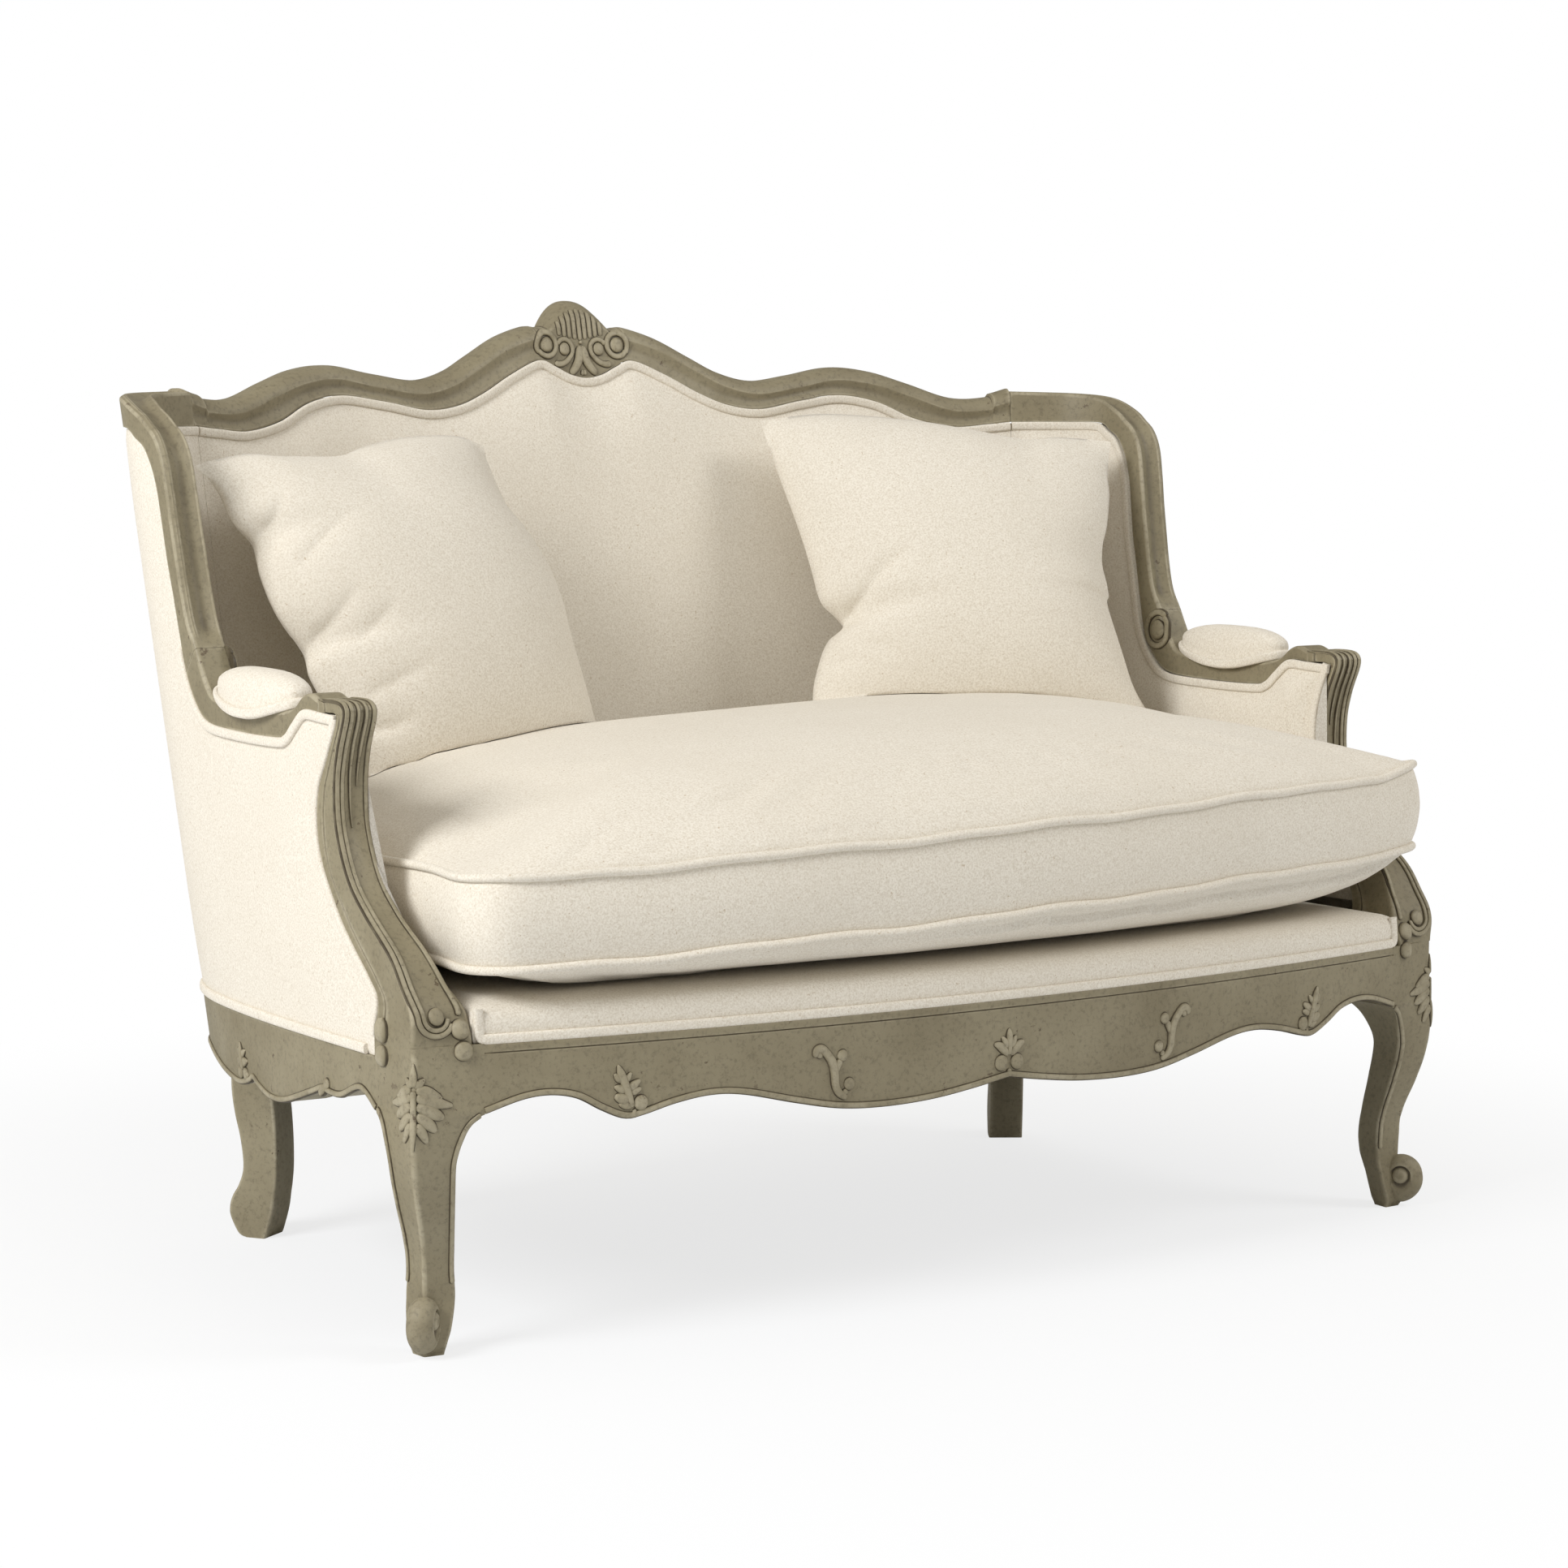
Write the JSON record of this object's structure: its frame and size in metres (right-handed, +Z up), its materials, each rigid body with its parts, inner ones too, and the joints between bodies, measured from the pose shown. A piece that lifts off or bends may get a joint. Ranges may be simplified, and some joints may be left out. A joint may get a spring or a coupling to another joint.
{
  "type": "settee",
  "caption": "Winged settee for two with a carved painted show-wood frame, curved legs, a bow-fronted loose seat cushion and a pair of loose throw pillows.",
  "frame": {"origin": "on the floor, under the middle of the settee's own box", "axes": "+X to the settee's left-hand end as one sits in it (the right in the picture), -Y towards the front, +Z up"},
  "size_m": [1.3812, 0.9258, 1.06],
  "materials": {
    "painted_wood": "rubbed grey-green paint, dull",
    "bare_wood": "unfinished",
    "linen": "plain woven cream linen",
    "spring_steel": "drawn wire",
    "jute": "woven straps",
    "dust_cloth": "thin black cloth"
  },
  "bodies": {
    "frame": {"crest_rail": "painted_wood", "wing_rail_right": "painted_wood", "wing_rail_left": "painted_wood", "arm_rail_right": "painted_wood", "arm_rail_left": "painted_wood", "arm_post_right": "painted_wood", "arm_post_left": "painted_wood", "front_leg_right": "painted_wood", "front_leg_left": "painted_wood", "rear_leg_right": "painted_wood", "rear_leg_left": "painted_wood", "front_rail": "painted_wood", "side_rail_right": "painted_wood", "side_rail_left": "painted_wood", "rear_rail": "painted_wood", "back_lower_rail": "bare_wood", "front_corner_block_right": "bare_wood", "front_corner_block_left": "bare_wood", "rear_corner_block_right": "bare_wood", "rear_corner_block_left": "bare_wood", "seat_brace": "bare_wood", "seat_spring_1": "spring_steel", "seat_spring_2": "spring_steel", "seat_spring_3": "spring_steel", "seat_spring_4": "spring_steel", "seat_spring_5": "spring_steel", "seat_spring_6": "spring_steel", "seat_spring_7": "spring_steel", "back_webbing": "jute", "dust_cover": "dust_cloth", "side_cover_right": "linen", "side_cover_left": "linen", "back_cover": "linen", "side_pad_right": "linen", "side_pad_left": "linen", "back_pad": "linen", "seat_deck": "linen", "arm_pad_right": "linen", "arm_pad_left": "linen"},
    "cushion": {"seat_cushion": "linen"},
    "right_pillow": {"pillow_right": "linen"},
    "left_pillow": {"pillow_left": "linen"}
  },
  "joints": [
    {"name": "cushion_lift", "type": "slide", "parent": "frame", "child": "cushion", "axis": [0, 0, 1], "range_m": [0, 0.3]},
    {"name": "right_pillow_lift", "type": "slide", "parent": "cushion", "child": "right_pillow", "axis": [0, 0, 1], "range_m": [0, 0.5]},
    {"name": "left_pillow_lift", "type": "slide", "parent": "cushion", "child": "left_pillow", "axis": [0, 0, 1], "range_m": [0, 0.5]}
  ]
}
